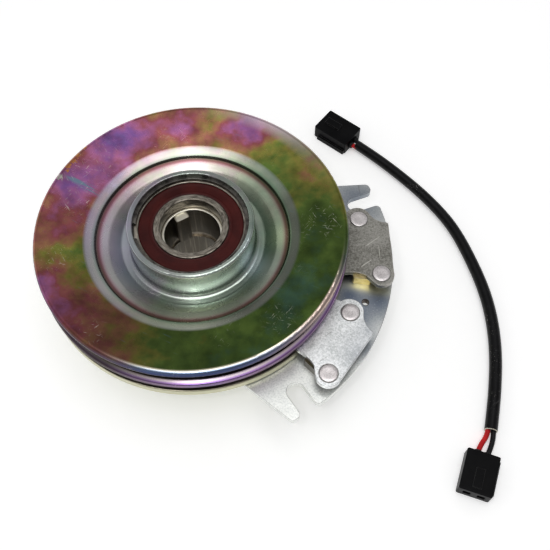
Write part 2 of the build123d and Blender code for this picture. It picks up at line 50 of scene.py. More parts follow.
# ---- camera -------------------------------------------------------------------------------
CAMERA_DISTANCE = 0.3617
CAMERA_ELEVATION = math.radians(57.10)
CAMERA_AZIMUTH = math.radians(28.7)
CAMERA_YAW = math.radians(-5.33)
CAMERA_PITCH = math.radians(-4.34)
CAMERA_ROLL = math.radians(-9.41)
CAMERA_LENS = 52.36         # on a 36 mm sensor


def place_camera():
    """A camera that looks down on the rim, turned off it by a small yaw, pitch and roll."""
    back = Vector((0, -math.cos(CAMERA_ELEVATION), math.sin(CAMERA_ELEVATION)))
    right = Vector((1, 0, 0))
    rows = Matrix((right, back.cross(right), back))
    turned = (Matrix.Rotation(-CAMERA_ROLL, 3, "Z") @ Matrix.Rotation(-CAMERA_PITCH, 3, "X")
              @ Matrix.Rotation(-CAMERA_YAW, 3, "Y") @ rows)
    placed = turned.transposed().to_4x4()
    placed.translation = back * CAMERA_DISTANCE
    data = bpy.data.cameras.new("camera")
    data.sensor_width = 36
    data.lens = CAMERA_LENS
    data.clip_start = 0.01
    camera = bpy.data.objects.new("camera", data)
    bpy.context.collection.objects.link(camera)
    camera.matrix_world = (Matrix.Translation((0, 0, RIM_TOP))
                           @ Matrix.Rotation(CAMERA_AZIMUTH, 4, "Z") @ placed)
    bpy.context.scene.camera = camera
    return camera


camera = place_camera()
CAMERA_PLACE = camera.matrix_world.translation.copy()


# ---- adaptor lead: the route's points are those of the CAD tubes --------------------------
SLEEVE_R = 3.05
WIRE_R = 1.2
WIRE_OFFSET = 1.25
LEAD_Z = 3.1
CONNECTOR_HOLE = 2.2
LEAD_ROUTE = [
    (53.0, 108.4),
    (64.5, 103.6),
    (84.5, 93.2),
    (101.5, 82.4),
    (115.4, 70.6),
    (127.6, 54.4),
    (138.0, 37.8),
    (144.9, 21.4),
    (149.3, 4.9),
    (151.7, -11.4),
    (152.8, -22.5),
    (153.5, -32.7),
]
RED_TAIL = [(151.9, -36.6), (150.0, -41.4)]
BLACK_TAIL = [(155.2, -36.6), (154.8, -41.4)]
# middle in plan, the direction its wires leave in, and its length
CONNECTOR_A = (40.3, 113.4, -20.8, 21.2)
CONNECTOR_B = (151.6, -54.7, 88.5, 19.2)


def polar(radius, angle):
    """A plan point from a radius and an angle in degrees."""
    return (radius * math.cos(math.radians(angle)), radius * math.sin(math.radians(angle)))


def beside(points, offset):
    """The route moved sideways; a positive offset is to the left of its direction."""
    moved = []
    for index, (x, y) in enumerate(points):
        x0, y0 = points[max(index - 1, 0)]
        x1, y1 = points[min(index + 1, len(points) - 1)]
        length = math.hypot(x1 - x0, y1 - y0)
        moved.append((x - offset * (y1 - y0) / length, y + offset * (x1 - x0) / length))
    return moved


def connector_hole(connector, side):
    """Plan point where a wire enters a connector's rear face."""
    x, y, angle, length = connector
    out = polar(length / 2, angle)
    across = polar(side * CONNECTOR_HOLE, angle + 90)
    return (x + out[0] + across[0], y + out[1] + across[1])


def cord_curve(name, plan_points, radius, slim_start=0.0):
    """A round cord lying flat along a NURBS line, drawn thinner at its start by a share."""
    data = bpy.data.curves.new(name, "CURVE")
    data.dimensions = "3D"
    data.bevel_depth = radius * MM
    data.bevel_resolution = 8
    data.use_fill_caps = True
    data.resolution_u = 16
    line = data.splines.new("NURBS")
    line.points.add(len(plan_points) - 1)
    for index, (point, (x, y)) in enumerate(zip(line.points, plan_points)):
        point.co = (x * MM, y * MM, LEAD_Z * MM, 1)
        point.radius = 1.0 - slim_start * max(0.0, 1.0 - index / 7.0)
    line.order_u = 3
    line.use_endpoint_u = True
    piece = bpy.data.objects.new(name, data)
    bpy.context.collection.objects.link(piece)
    return piece


red_route = ([connector_hole(CONNECTOR_A, -1)] + beside(LEAD_ROUTE, -WIRE_OFFSET) + RED_TAIL
             + [connector_hole(CONNECTOR_B, 1)])
black_route = ([connector_hole(CONNECTOR_A, 1)] + beside(LEAD_ROUTE, WIRE_OFFSET) + BLACK_TAIL
               + [connector_hole(CONNECTOR_B, -1)])
lead_sleeve = cord_curve("lead_sleeve", LEAD_ROUTE, SLEEVE_R, slim_start=0.13)
lead_red = cord_curve("lead_wire_red", red_route, WIRE_R)
lead_black = cord_curve("lead_wire_black", black_route, WIRE_R)
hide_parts("harness_sleeve")
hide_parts("wire_red")
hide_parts("wire_black")


# ---- materials ----------------------------------------------------------------------------
class Look:
    """A material being built.  Each method adds one node and gives back its output socket."""

    def __init__(self, name, metallic=0.0, roughness=0.5):
        self.material = bpy.data.materials.new(name)
        self.material.use_nodes = True
        self.nodes = self.material.node_tree.nodes
        self.links = self.material.node_tree.links
        self.nodes.clear()
        self.shader = self.nodes.new("ShaderNodeBsdfPrincipled")
        out = self.nodes.new("ShaderNodeOutputMaterial")
        self.links.new(self.shader.outputs[0], out.inputs["Surface"])
        self.set("Metallic", metallic)
        self.set("Roughness", roughness)
        self.place = self.add("ShaderNodeTexCoord", output="Object")

    def put(self, socket, value):
        """Link an output to a socket, or set the socket's own value."""
        if isinstance(value, bpy.types.NodeSocket):
            self.links.new(value, socket)
        elif isinstance(value, tuple) and len(value) == 3 and socket.type == "RGBA":
            socket.default_value = value + (1.0,)
        else:
            socket.default_value = value

    def set(self, name, value):
        """Feed one of the shader's sockets."""
        self.put(self.shader.inputs[name], value)

    def add(self, kind, output=0, options=None, inputs=None):
        """Add a node of a kind, with its options and inputs."""
        made = self.nodes.new(kind)
        for key, value in (options or {}).items():
            setattr(made, key, value)
        for key, value in (inputs or {}).items():
            self.put(made.inputs[key], value)
        return made.outputs[output]

    def math(self, operation, first, second=0.0):
        """Arithmetic on one or two values."""
        return self.add("ShaderNodeMath", options={"operation": operation},
                        inputs={0: first, 1: second})

    def noise(self, scale, detail=3.0, vector=None, roughness=0.55):
        """Cloudy noise from 0 to 1 about 0.5."""
        return self.add("ShaderNodeTexNoise", inputs={
            "Vector": vector or self.place, "Scale": scale, "Detail": detail,
            "Roughness": roughness})

    def ramp(self, value, *stops):
        """A colour ramp; each stop is (position, colour) or (position, grey)."""
        made = self.nodes.new("ShaderNodeValToRGB")
        made.color_ramp.elements.remove(made.color_ramp.elements[0])
        for index, (position, colour) in enumerate(stops):
            shade = colour if isinstance(colour, tuple) else (colour,) * 3
            elements = made.color_ramp.elements
            stop = elements[0] if index == 0 else elements.new(position)
            stop.position = position
            stop.color = shade + (1.0,)
        self.put(made.inputs[0], value)
        return made.outputs[0]

    def mix(self, share, first, second, blend="MIX"):
        """Mix two colours."""
        made = self.nodes.new("ShaderNodeMix")
        made.data_type = "RGBA"
        made.blend_type = blend
        self.put(made.inputs[0], share)
        self.put(made.inputs[6], first)
        self.put(made.inputs[7], second)
        return made.outputs[2]

    def scaled(self, scale, turn=0.0):
        """Object coordinates turned about Z and stretched."""
        turned = self.add("ShaderNodeMapping", inputs={
            "Vector": self.place, "Rotation": (0, 0, math.radians(turn))})
        return self.add("ShaderNodeMapping", inputs={"Vector": turned, "Scale": scale})

    def warped(self, scale, reach):
        """Object coordinates pushed about by noise, so that soft spots get ragged outlines."""
        cloud = self.add("ShaderNodeTexNoise", output="Color",
                         inputs={"Vector": self.place, "Scale": scale, "Detail": 4.0})
        centred = self.add("ShaderNodeVectorMath", options={"operation": "SUBTRACT"},
                           inputs={0: cloud, 1: (0.5, 0.5, 0.5)})
        pushed = self.nodes.new("ShaderNodeVectorMath")
        pushed.operation = "SCALE"
        self.put(pushed.inputs[0], centred)
        pushed.inputs["Scale"].default_value = reach
        return self.add("ShaderNodeVectorMath", inputs={0: self.place, 1: pushed.outputs[0]})

    def split(self):
        """The x, y and z of object coordinates."""
        made = self.nodes.new("ShaderNodeSeparateXYZ")
        self.put(made.inputs[0], self.place)
        return made.outputs[0], made.outputs[1], made.outputs[2]

    def radius(self):
        """Distance from the shaft axis, in metres."""
        x, y, _ = self.split()
        squared = self.math("ADD", self.math("MULTIPLY", x, x), self.math("MULTIPLY", y, y))
        return self.math("SQRT", squared)

    def turned_lines(self, pitch, along=6.0):
        """Fine rings about the shaft axis, broken up along their length."""
        x, y, z = self.split()
        far = self.radius()
        rings = self.add("ShaderNodeCombineXYZ", inputs={
            0: self.math("MULTIPLY", self.math("DIVIDE", x, far), along),
            1: self.math("MULTIPLY", self.math("DIVIDE", y, far), along),
            2: self.math("DIVIDE", self.math("ADD", far, z), pitch)})
        return self.noise(1.0, 2.0, rings)

    def scratches(self, turn, across=700.0, along=28.0, level=0.70):
        """Sparse thin marks that run one way."""
        marks = self.noise(1.0, 2.0, self.scaled((across, along, along), turn))
        return self.ramp(marks, (level, 0.0), (level + 0.035, 1.0))

    def bump(self, height, distance, strength=1.0, normal=None):
        """A normal tilted by a height map, on top of another normal if one is given."""
        made = self.nodes.new("ShaderNodeBump")
        made.inputs["Strength"].default_value = strength
        made.inputs["Distance"].default_value = distance
        self.put(made.inputs["Height"], height)
        if normal is not None:
            self.put(made.inputs["Normal"], normal)
        return made.outputs[0]

    def rounded(self, radius):
        """The surface's normal, with its sharp edges broken by a small radius."""
        return self.add("ShaderNodeBevel", options={"samples": 6}, inputs={"Radius": radius})

    def edges(self, radius):
        """1 at convex and concave edges, 0 on flats."""
        soft = self.add("ShaderNodeBevel", options={"samples": 4}, inputs={"Radius": radius})
        sharp = self.add("ShaderNodeNewGeometry", output="Normal")
        alike = self.nodes.new("ShaderNodeVectorMath")
        alike.operation = "DOT_PRODUCT"
        self.put(alike.inputs[0], soft)
        self.put(alike.inputs[1], sharp)
        return self.ramp(alike.outputs["Value"], (0.80, 1.0), (0.985, 0.0))


# the colours of a zinc dichromate film in the order that its thickness brings them
FILM = (
    (0.00, (0.20, 0.14, 0.38)),
    (0.14, (0.25, 0.11, 0.34)),
    (0.28, (0.38, 0.13, 0.27)),
    (0.40, (0.30, 0.085, 0.095)),
    (0.50, (0.33, 0.16, 0.085)),
    (0.60, (0.26, 0.24, 0.055)),
    (0.72, (0.115, 0.18, 0.04)),
    (0.86, (0.07, 0.12, 0.03)),
    (1.00, (0.06, 0.12, 0.075)),
)
FILM_BASE = 0.50
# patches of thicker or thinner film: plan angle, radius in mm, reach in mm, shift
FILM_PATCHES = (
    (20, 58, 34, 0.30),
    (340, 60, 30, 0.30),
    (300, 60, 26, 0.32),
    (262, 62, 14, -0.02),
    (236, 65, 12, -0.12),
    (214, 56, 16, 0.20),
    (190, 61, 13, -0.18),
    (172, 58, 9, -0.20),
    (156, 62, 16, -0.20),
    (140, 62, 12, -0.24),
    (118, 60, 10, -0.14),
    (99, 62, 9, 0.10),
    (86, 62, 10, -0.38),
    (66, 59, 15, 0.12),
    (225, 72, 13, -0.34),
)
# painted shade, darker spots of the face: the same first three numbers, and a strength
FILM_PAINTED_SHADE = (
    (262, 62, 26, 0.50),
    (236, 66, 16, 0.25),
    (30, 58, 26, 0.30),
    (300, 60, 26, 0.10),
    (160, 62, 26, 0.15),
)
# the dish: the same film, washed out by a painted highlight, from lilac on one side to green on the
# other
DISH_HIGHLIGHT_TINTS = (
    (0.20, (0.38, 0.35, 0.46)),
    (0.42, (0.46, 0.37, 0.39)),
    (0.58, (0.40, 0.43, 0.33)),
    (0.85, (0.26, 0.36, 0.26)),
)
DISH_R = 48.7               # where the dish meets the flat flange
# painted highlights on the dish, and painted shade in one spot: plan angle, radius and reach in mm,
# tint
DISH_PAINTED_LIGHT = (
    (224, 36, 9, (0.28, 0.28, 0.27)),
    (110, 38, 9, (0.88, 0.78, 0.80)),
    (18, 41, 7, (0.62, 0.74, 0.48)),
    (298, 41, 19, (0.95, 0.96, 0.78)),
    (328, 42, 15, (0.70, 0.72, 0.60)),
    (354, 33, 7, (0.92, 0.95, 0.90)),
    (200, 43, 17, (0.74, 0.66, 0.82)),
    (230, 43, 15, (0.62, 0.62, 0.62)),
)
# the pressed steps of the dish: painted highlights on the rounded shoulders, painted shade in the
# creases
DISH_PAINTED_BANDS = (
    (28.4, (0.74, 0.80, 0.92)),
    (34.0, (0.74, 0.84, 0.88)),
    (37.5, (0.9, 0.92, 0.92)),
    (40.8, (1.0, 1.0, 1.0)),
    (41.8, (0.92, 0.74, 0.80)),
    (42.7, (0.46, 0.22, 0.26)),
    (43.6, (0.26, 0.16, 0.15)),
    (44.3, (0.26, 0.30, 0.24)),
    (45.0, (0.66, 0.80, 0.74)),
    (46.2, (1.0, 1.0, 1.0)),
    (48.9, (0.85, 0.82, 0.92)),
)
# painted highlight and reflection bands round the near side of the upper rim, outwards; the rest of
# the rim takes painted shade
RIM_PAINTED_REFLECTIONS = (
    (68.9, (0.85, 0.78, 0.56)),
    (69.3, (0.60, 0.60, 0.60)),
    (69.8, (0.22, 0.30, 0.44)),
    (70.5, (0.10, 0.14, 0.30)),
    (70.95, (0.02, 0.02, 0.06)),
)
RIM_PAINTED_SHADE = (0.05, 0.045, 0.07)
# the lower flange: its film's base and patches, and thin bands of painted highlight and shade on
# its rim, outwards
LOWER_BASE = 0.18
LOWER_PATCHES = (
    (255, 66, 26, 0.32),
    (20, 62, 40, 0.34),
    (330, 60, 22, 0.16),
    (200, 66, 30, -0.10),
)
LOWER_PAINTED_BANDS = (
    (68.7, (0.60, 0.52, 0.56)),
    (69.25, (0.92, 0.84, 0.86)),
    (69.8, (0.50, 0.34, 0.70)),
    (70.25, (0.26, 0.14, 0.46)),
    (70.45, (0.03, 0.02, 0.05)),
    (70.7, (0.45, 0.36, 0.55)),
    (70.9, (0.03, 0.02, 0.04)),
)
# wear of the upper flange; each place is plan angle, radius and reach in mm
SCRAPE_COLOUR = (0.15, 0.25, 0.32)
SCRAPE_ANGLE = 171.7
CHIP_COLOUR = (0.42, 0.17, 0.055)
BARE_COLOUR = (0.46, 0.46, 0.40)
SCUFF_COLOUR = (0.62, 0.60, 0.52)
BARE_SPOT = (173.4, 68.8, 2.3)
CHIPS = (
    (167.4, 68.8, 2.2),
    (164.6, 68.6, 2.4),
    (161.6, 69.2, 1.8),
    (169.4, 67.6, 1.2),
    (157.0, 69.6, 1.3),
)
RUBBED = (
    (158, 62, 13),
    (172, 60, 9),
    (182, 56, 9),
    (212, 62, 8),
    (22, 60, 10),
    (330, 60, 9),
    (250, 64, 7),
)


def patch(look, angle, radius, reach, stretch=1.0):
    """A soft spot at a place in plan, drawn out along the radius by the stretch."""
    x, y, _ = look.split()
    turn = math.radians(angle)
    along = look.math("ADD", look.math("MULTIPLY", x, math.cos(turn)),
                      look.math("MULTIPLY", y, math.sin(turn)))
    across = look.math("SUBTRACT", look.math("MULTIPLY", y, math.cos(turn)),
                       look.math("MULTIPLY", x, math.sin(turn)))
    along = look.math("DIVIDE", look.math("SUBTRACT", along, radius * MM), reach * MM * stretch)
    across = look.math("DIVIDE", across, reach * MM)
    away = look.math("ADD", look.math("MULTIPLY", along, along),
                     look.math("MULTIPLY", across, across))
    return look.math("EXPONENT", look.math("MULTIPLY", away, -1.0))


def at_radius(look, *stops):
    """A ramp over the distance from the shaft axis; each stop is (radius in mm, colour or grey)."""
    far = look.math("MULTIPLY", look.radius(), 10.0)
    return look.ramp(far, *((radius / 100, value) for radius, value in stops))


def centred_noise(look, strength, *cloud):
    """Noise about zero, scaled."""
    return look.math("MULTIPLY", look.math("SUBTRACT", look.noise(*cloud), 0.5), strength)


def film_colour(look, base, patches):
    """The drifting patches of a dichromate film with painted shade on the face, and the same film
    washed out by a painted highlight for the dish.
    """
    drift = centred_noise(look, 0.55, 34.0, 3.0)
    fine = centred_noise(look, 0.34, 170.0, 4.0)
    film = look.math("ADD", look.math("ADD", drift, fine), base)
    straight = look.place
    look.place = look.warped(55.0, 0.030)
    for angle, radius, reach, shift in patches:
        spot = patch(look, angle, radius, reach)
        film = look.math("ADD", film, look.math("MULTIPLY", spot, shift))
    look.place = straight
    shade = look.ramp(look.noise(95.0, 5.0), (0.32, 0.62), (0.70, 1.30))
    strong = look.mix(1.0, look.ramp(film, *FILM), shade, "MULTIPLY")
    # painted shade: the face darkened in spots, towards a near black colour
    for angle, radius, reach, strength in FILM_PAINTED_SHADE:
        face_shade = look.math("MULTIPLY", patch(look, angle, radius, reach), strength)
        strong = look.mix(face_shade, strong, (0.012, 0.010, 0.009))
    # the dish's colour: the film washed out by a painted highlight
    return strong, look.mix(0.5, look.ramp(film, *DISH_HIGHLIGHT_TINTS), shade, "MULTIPLY")


def chips(look, colour):
    """The long scrape to the rim and the chips beside it, where the plating has come off."""
    ragged = centred_noise(look, 2.2, 1100.0, 4.0)
    streaks = centred_noise(look, 2.4, 1.0, 3.0, look.scaled((90.0, 900.0, 90.0), -SCRAPE_ANGLE))
    scrape = look.math("ADD", patch(look, SCRAPE_ANGLE, 59, 2.0, stretch=5.5), streaks)
    colour = look.mix(look.ramp(scrape, (0.42, 0.0), (1.05, 0.85)), colour, SCRAPE_COLOUR)
    for spot in CHIPS:
        chip = look.math("ADD", patch(look, *spot, stretch=0.7), ragged)
        colour = look.mix(look.ramp(chip, (0.50, 0.0), (0.66, 0.95)), colour, CHIP_COLOUR)
        colour = look.mix(look.ramp(chip, (1.05, 0.0), (1.20, 0.8)), colour, BARE_COLOUR)
    bare = look.math("ADD", patch(look, *BARE_SPOT), ragged)
    return look.mix(look.ramp(bare, (0.60, 0.0), (0.75, 0.8)), colour, BARE_COLOUR)


def lower_flange_colour(look, strong):
    """Thin bands of painted highlight and shade on the lower flange's rim; painted shade inside the
    groove and on the far side.
    """
    bands = look.mix(0.25, at_radius(look, *LOWER_PAINTED_BANDS), strong)
    # painted shade inside the groove, under the upper flange
    colour = look.mix(1.0, bands, at_radius(look, (68.5, 0.006), (68.8, 1.0)), "MULTIPLY")
    # painted shade on the far side
    shaded = look.ramp(patch(look, 222, 68, 60), (0.25, 0.0), (0.6, 0.85))
    return look.mix(shaded, colour, (0.05, 0.042, 0.028))


def upper_flange_colour(look, strong, pale):
    """The face with a painted sheen, the paler dish with painted highlights and shade on its steps,
    the rim with painted reflections and shade, and the wear.
    """
    # painted highlights and a spot of painted shade on the dish
    for angle, radius, reach, tint in DISH_PAINTED_LIGHT:
        share = look.math("MULTIPLY", patch(look, angle, radius, reach), 0.75)
        pale = look.mix(share, pale, tint)
    # painted highlights and shade in bands over the dish's steps
    pale = look.mix(1.0, pale, at_radius(look, *DISH_PAINTED_BANDS), "MULTIPLY")
    # painted shade on the outer ring of the step, on the dish's right and near side
    painted_ring_shade = look.math("MULTIPLY", at_radius(look, (44.6, 0.0), (45.2, 0.8)),
                          look.ramp(patch(look, 354, 47, 50), (0.30, 0.0), (0.75, 1.0)))
    pale = look.mix(painted_ring_shade, pale, (0.11, 0.11, 0.10))
    # painted sheen: a pale lilac highlight along the face next to the rim
    sheen = look.math("MULTIPLY", at_radius(look, (63.0, 0.0), (68.5, 0.75)),
                      patch(look, 76, 68, 21))
    strong = look.mix(sheen, strong, (0.62, 0.52, 0.58))
    in_dish = at_radius(look, (DISH_R - 0.5, 0.95), (DISH_R + 0.9, 0.0))
    colour = look.mix(in_dish, strong, pale)
    # painted reflections in bands on the rim's near side, painted shade on the rest of the rim
    near = look.ramp(patch(look, 314, 71, 50), (0.12, 0.0), (0.42, 1.0))
    rim_reflection = look.mix(patch(look, 345, 71, 24), at_radius(look, *RIM_PAINTED_REFLECTIONS), (0.55, 0.42, 0.37))
    outer = look.mix(near, look.mix(0.75, strong, RIM_PAINTED_SHADE), rim_reflection)
    starts = look.mix(near, at_radius(look, (70.2, 0.0), (70.6, 0.9)),
                      at_radius(look, (68.5, 0.0), (68.9, 1.0)))
    return chips(look, look.mix(starts, colour, outer))


def scuff_marks(look, rubbed):
    """Fine scratches three ways and small nicks, in cloudy clusters and on the rubbed spots."""
    clusters = look.ramp(look.noise(46.0, 3.0), (0.56, 0.0), (0.66, 0.7))
    for spot in rubbed:
        worn = look.ramp(patch(look, *spot), (0.3, 0.0), (0.7, 1.0))
        clusters = look.math("MAXIMUM", clusters, worn)
    marks = look.math("MAXIMUM", look.scratches(20, 1900.0, 200.0, 0.68),
                      look.scratches(-48, 2000.0, 160.0, 0.69))
    marks = look.math("MAXIMUM", marks, look.scratches(84, 2200.0, 220.0, 0.68))
    nicks = look.ramp(look.noise(1500.0, 2.0), (0.70, 0.0), (0.75, 1.0))
    return look.math("MULTIPLY", look.math("MAXIMUM", marks, nicks), clusters)


def plating(name, base=FILM_BASE, patches=FILM_PATCHES, lower=False):
    """Iridescent yellow zinc: colour bands in drifting patches, fine scuffs and satin gloss."""
    look = Look(name, metallic=1.0)
    strong, pale = film_colour(look, base, patches)
    if lower:
        colour = lower_flange_colour(look, strong)
    else:
        colour = upper_flange_colour(look, strong, pale)
    scuffs = scuff_marks(look, () if lower else RUBBED)
    look.set("Base Color", look.mix(look.math("MULTIPLY", scuffs, 0.42), colour, SCUFF_COLOUR))
    rough = look.math("ADD", look.math("MULTIPLY", look.noise(60.0, 4.0), 0.14), 0.20)
    look.set("Roughness", look.math("ADD", rough, look.math("MULTIPLY", scuffs, 0.2)))
    rolled = look.bump(look.turned_lines(0.0006, 3.0), 0.00001, 0.3)
    look.set("Normal", look.bump(look.math("MULTIPLY", scuffs, -1.0), 0.00003, 0.5, rolled))
    return look.material


# colour of painted shade on the zinc plates
PAINTED_SHADE_COLOUR = (0.11, 0.14, 0.20)
PAINTED_REFLECTION_COLOUR = (0.96, 0.96, 0.66)
HOLE_SHADE_COLOUR = (0.035, 0.018, 0.010)
# painted shade on the torque plate round and between the brake plates: plan angle, radius and reach
# in mm, strength
PLATE_PAINTED_SHADE = (
    (-6, 80, 11, 0.92),
    (2, 89, 9, 0.92),
    (1, 75, 7, 0.92),
    (-14, 92, 7, 0.60),
    (24, 82, 12, 0.70),
    (40, 84, 15, 0.80),
    (10, 72, 8, 0.60),
)
# painted shade on the second brake plate towards its outer corner: the same four numbers
BRAKE_PAINTED_SHADE = ((-18, 95, 9, 0.40), (-10, 90, 5, 0.30))
# a painted reflection beside the spacer, painted shade in the locating hole and on the second
# plate's spacer: the same first three numbers, and the reflection's stretch
PLATE_PAINTED_REFLECTION = (5.4, 83, 2.4, 3.6)
HOLE_PAINTED_SHADE = (0, 83.1, 2.1)
SPACER_PAINTED_SHADE = (-29, 80, 9)

# the keyed bore: painted shade down its wall, bare steel with a painted highlight on its mouth and
# key
BARE_STEEL_HIGHLIGHT = (0.97, 0.93, 0.80)
BORE_PAINTED_SHADE = (0.13, 0.115, 0.088)
BORE_STREAK = (0.34, 0.30, 0.23)
BORE_EDGE = 12.72 * MM      # just outside the bore's wall
KEY_PLACE = (138, 10.6, 3.4)    # plan angle, radius and reach in mm
KEY_TOP = 48.6 * MM         # just under the key's end
MOUTH = 49.5 * MM           # where the bore's chamfer starts


def keyed_bore(look, colour):
    """Painted shade and faint streaks down the bore, bare steel with a painted highlight round its
    mouth and on the key's end.
    """
    height = look.split()[2]
    inside = look.math("LESS_THAN", look.radius(), BORE_EDGE)
    outside = look.math("GREATER_THAN", look.radius(), BORE_EDGE)
    # painted shade, deeper down the bore
    deep = look.ramp(look.math("MULTIPLY", height, 10.0), (0.40, 0.97), (0.48, 0.80))
    colour = look.mix(look.math("MULTIPLY", inside, deep), colour, BORE_PAINTED_SHADE)
    streaks = look.noise(1.0, 2.0, look.scaled((900.0, 900.0, 40.0)))
    streaks = look.math("MULTIPLY", inside, look.ramp(streaks, (0.52, 0.0), (0.70, 0.55)))
    colour = look.mix(streaks, colour, BORE_STREAK)
    # bare steel with a painted highlight on the key's end
    key = look.ramp(patch(look, *KEY_PLACE), (0.3, 0.0), (0.6, 1.0))
    key_end = look.math("MULTIPLY", key, look.math("GREATER_THAN", height, KEY_TOP))
    colour = look.mix(key_end, colour, BARE_STEEL_HIGHLIGHT)
    # bare steel with a painted highlight round the mouth
    mouth = look.math("MULTIPLY", look.math("GREATER_THAN", height, MOUTH), outside)
    return look.mix(mouth, colour, BARE_STEEL_HIGHLIGHT)


def turned_steel(name, dark, light, pitch=0.0003, roughness=0.30, side=None, keyed=False):
    """Machined steel: fine turning lines, stains and small pits; its side may be plated."""
    look = Look(name, metallic=1.0)
    lines = look.turned_lines(pitch)
    stains = look.noise(70.0, 5.0)
    tone = look.math("ADD", look.math("MULTIPLY", lines, 0.6), look.math("MULTIPLY", stains, 0.4))
    pits = look.math("MULTIPLY", look.ramp(look.noise(1500.0, 2.0), (0.64, 0.0), (0.72, 1.0)), 0.5)
    colour = look.mix(pits, look.ramp(tone, (0.36, dark), (0.64, light)), dark)
    if side:
        colour = look.mix(at_radius(look, (70.25, 0.0), (70.40, 0.9)), colour, side)
    if keyed:
        colour = keyed_bore(look, colour)
    look.set("Base Color", colour)
    look.set("Roughness", look.math("ADD", look.math("MULTIPLY", stains, 0.2), roughness - 0.1))
    look.set("Normal", look.bump(lines, 0.00002, 0.6))
    return look.material


def grained_zinc(name, dark, light, grain=900.0, roughness=0.38, worn=(0.88, 0.88, 0.86),
                 shadows=()):
    """Zinc on cold-rolled plate: fine mottled grain, cloudy stains, painted shade where given, a
    few scratches, edges in the worn colour.
    """
    look = Look(name, metallic=1.0)
    speckle = look.noise(grain, 4.0, roughness=0.75)
    clouds = look.noise(70.0, 6.0)
    tone = look.math("ADD", look.math("MULTIPLY", speckle, 0.65),
                     look.math("MULTIPLY", clouds, 0.35))
    colour = look.ramp(tone, (0.40, dark), (0.57, light))
    # painted shade on the given spots
    for angle, radius, reach, strength in shadows:
        share = look.math("MULTIPLY", patch(look, angle, radius, reach), strength)
        colour = look.mix(share, colour, PAINTED_SHADE_COLOUR)
    if shadows == PLATE_PAINTED_SHADE:
        # painted reflection of the spacer's yellow plating, drawn out along the radius
        spacer_reflection = look.math("MULTIPLY", patch(look, *PLATE_PAINTED_REFLECTION), 0.95)
        colour = look.mix(spacer_reflection, colour, PAINTED_REFLECTION_COLOUR)
        # painted shade, dark brown, in and round the locating hole
        hole_shade = look.ramp(patch(look, *HOLE_PAINTED_SHADE), (0.44, 0.0), (0.52, 1.0))
        colour = look.mix(hole_shade, colour, HOLE_SHADE_COLOUR)
    marks = look.math("MAXIMUM", look.scratches(35, 900.0, 60.0, 0.71),
                      look.scratches(-20, 900.0, 50.0, 0.72))
    colour = look.mix(look.math("MULTIPLY", marks, 0.5), colour, worn)
    flecks = look.ramp(look.noise(grain * 0.9, 1.0), (0.66, 0.0), (0.72, 1.0))
    colour = look.mix(look.math("MULTIPLY", flecks, 0.35), colour, dark)
    # the edges take the worn colour: where it is dark, as on the torque plate and brake plates, it
    # outlines them in painted shade
    rims = look.edges(0.0005)
    colour = look.mix(look.math("MULTIPLY", rims, 0.65), colour, worn)
    look.set("Base Color", colour)
    look.set("Roughness", look.math("ADD", look.math("MULTIPLY", speckle, 0.25), roughness - 0.12))
    rough_skin = look.bump(speckle, 0.00003, 0.6, look.rounded(0.0004))
    look.set("Normal", look.bump(marks, -0.00003, 0.5, rough_skin))
    return look.material


def coated_steel(name, colour, light, roughness=0.4, shade_spot=None):
    """Spring steel and rings with a thin dark or coloured finish, with painted shade in one place
    where given.
    """
    look = Look(name, metallic=1.0)
    clouds = look.noise(240.0, 4.0)
    shade = look.ramp(clouds, (0.35, colour), (0.68, light))
    if shade_spot:
        # painted shade on the spacer that sits by the second brake plate
        spot_shade = look.ramp(patch(look, *shade_spot), (0.25, 0.0), (0.45, 0.95))
        shade = look.mix(spot_shade, shade, (0.02, 0.018, 0.014))
    shade = look.mix(look.math("MULTIPLY", look.edges(0.0003), 0.6), shade, (0.62, 0.61, 0.58))
    look.set("Base Color", shade)
    look.set("Roughness", look.math("ADD", look.math("MULTIPLY", clouds, 0.2), roughness - 0.1))
    look.set("Normal", look.bump(look.noise(2200.0, 2.0), 0.00001, 0.4))
    return look.material


def moulded(name, dark, light, roughness=0.42, texture=2400.0, sheen=0.5):
    """Moulded plastic or rubber with a fine spark-eroded skin and rubbed edges."""
    look = Look(name, roughness=roughness)
    look.set("Specular IOR Level", sheen)
    skin = look.noise(texture, 2.0)
    clouds = look.noise(120.0, 4.0)
    shade = look.ramp(clouds, (0.35, dark), (0.70, light))
    rubbed = look.mix(0.5, light, (0.35, 0.35, 0.35))
    look.set("Base Color", look.mix(look.math("MULTIPLY", look.edges(0.0004), 0.30), shade, rubbed))
    look.set("Roughness", look.math("ADD", look.math("MULTIPLY", clouds, 0.18), roughness - 0.09))
    look.set("Normal", look.bump(skin, 0.00002, 0.5, look.rounded(0.0005)))
    return look.material


def vinyl(name, dark, light, roughness=0.28, dust=0.0):
    """Extruded vinyl: glossy, with faint waves along it, handling marks and flecks of dust."""
    look = Look(name, roughness=roughness)
    waves = look.noise(260.0, 3.0)
    marks = look.scratches(30, 500.0, 60.0, 0.72)
    shade = look.ramp(waves, (0.30, dark), (0.75, light))
    colour = look.mix(look.math("MULTIPLY", marks, 0.06), shade, (0.5, 0.5, 0.5))
    if dust:
        flecks = look.ramp(look.noise(1500.0, 2.0), (0.645, 0.0), (0.70, 1.0))
        patchy = look.ramp(look.noise(38.0, 2.0), (0.48, 0.0), (0.62, dust))
        colour = look.mix(look.math("MULTIPLY", flecks, patchy), colour, (0.55, 0.53, 0.50))
    look.set("Base Color", colour)
    look.set("Roughness", look.math("ADD", look.math("MULTIPLY", waves, 0.2), roughness - 0.08))
    look.set("Normal", look.bump(waves, 0.0002, 0.35))
    look.set("Specular IOR Level", 0.16)
    return look.material


def wound_copper(name):
    """Enamelled wire in rows round the bobbin."""
    look = Look(name, metallic=1.0, roughness=0.3)
    rows = look.turned_lines(0.0005, 2.0)
    look.set("Base Color", look.ramp(rows, (0.3, (0.30, 0.10, 0.04)), (0.7, (0.85, 0.42, 0.20))))
    look.set("Normal", look.bump(rows, 0.0002, 0.8))
    return look.material


